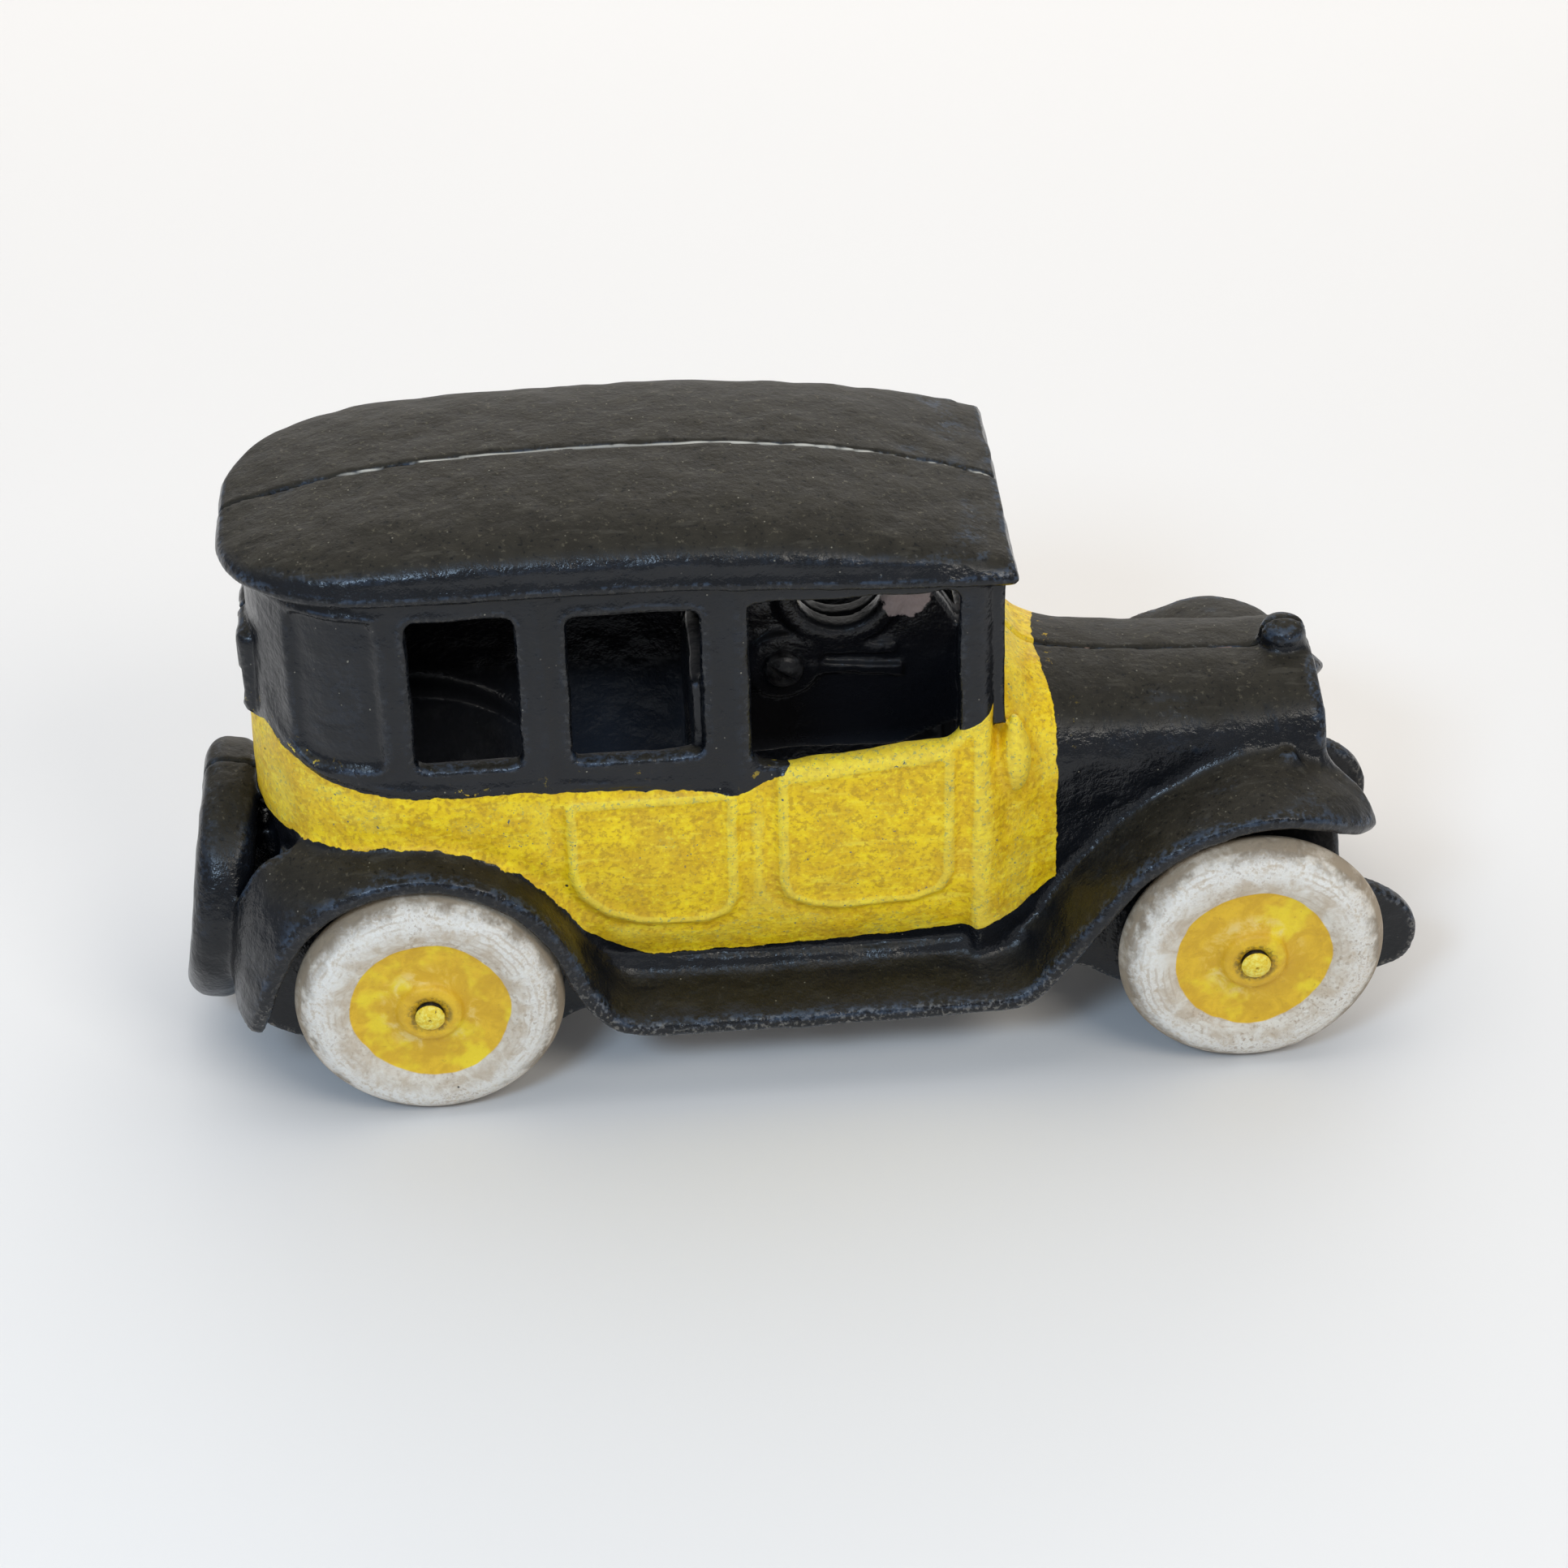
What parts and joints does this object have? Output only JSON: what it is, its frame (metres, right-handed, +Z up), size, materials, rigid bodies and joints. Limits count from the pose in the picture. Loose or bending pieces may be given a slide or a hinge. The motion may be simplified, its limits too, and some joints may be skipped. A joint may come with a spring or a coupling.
{
  "type": "cast-iron toy taxi",
  "caption": "Cast-iron toy taxi in two body halves held by one screw, with disc wheels that turn on loose steel axles and a spare wheel cast on the back",
  "frame": {"origin": "centre of the bottom of the whole car's bounding box, on the ground the tyres stand on", "axes": "+X points to the radiator, +Y to the car's left side, +Z up"},
  "size_m": [0.2074, 0.0764, 0.1058],
  "materials": {
    "body_paint": "satin black enamel with a hand-painted yellow lower body, worn and speckled",
    "wheel_paint": "chalky off-white tyre with an orange-yellow disc, brown wear at the edges",
    "axle_steel": "plain rod with peened ends, yellow paint left on the ends",
    "screw_steel": "blackened round-head screw"
  },
  "bodies": {
    "body": {"right_body_half": "body_paint", "left_body_half": "body_paint", "body_screw": "screw_steel"},
    "front_axle": {"front_axle": "axle_steel"},
    "rear_axle": {"rear_axle": "axle_steel"},
    "front_right_wheel": {"front_right_wheel": "wheel_paint"},
    "front_left_wheel": {"front_left_wheel": "wheel_paint"},
    "rear_right_wheel": {"rear_right_wheel": "wheel_paint"},
    "rear_left_wheel": {"rear_left_wheel": "wheel_paint"}
  },
  "joints": [
    {"name": "front_axle_spin", "type": "hinge", "parent": "body", "child": "front_axle", "pos_m": [0.074, 0, 0.022], "axis": [0, 1, 0], "continuous": true},
    {"name": "rear_axle_spin", "type": "hinge", "parent": "body", "child": "rear_axle", "pos_m": [-0.0616, 0, 0.022], "axis": [0, 1, 0], "continuous": true},
    {"name": "front_right_wheel_spin", "type": "hinge", "parent": "front_axle", "child": "front_right_wheel", "pos_m": [0.074, -0.032, 0.022], "axis": [0, 1, 0], "continuous": true},
    {"name": "front_left_wheel_spin", "type": "hinge", "parent": "front_axle", "child": "front_left_wheel", "pos_m": [0.074, 0.032, 0.022], "axis": [0, 1, 0], "continuous": true},
    {"name": "rear_right_wheel_spin", "type": "hinge", "parent": "rear_axle", "child": "rear_right_wheel", "pos_m": [-0.0616, -0.032, 0.022], "axis": [0, 1, 0], "continuous": true},
    {"name": "rear_left_wheel_spin", "type": "hinge", "parent": "rear_axle", "child": "rear_left_wheel", "pos_m": [-0.0616, 0.032, 0.022], "axis": [0, 1, 0], "continuous": true}
  ]
}
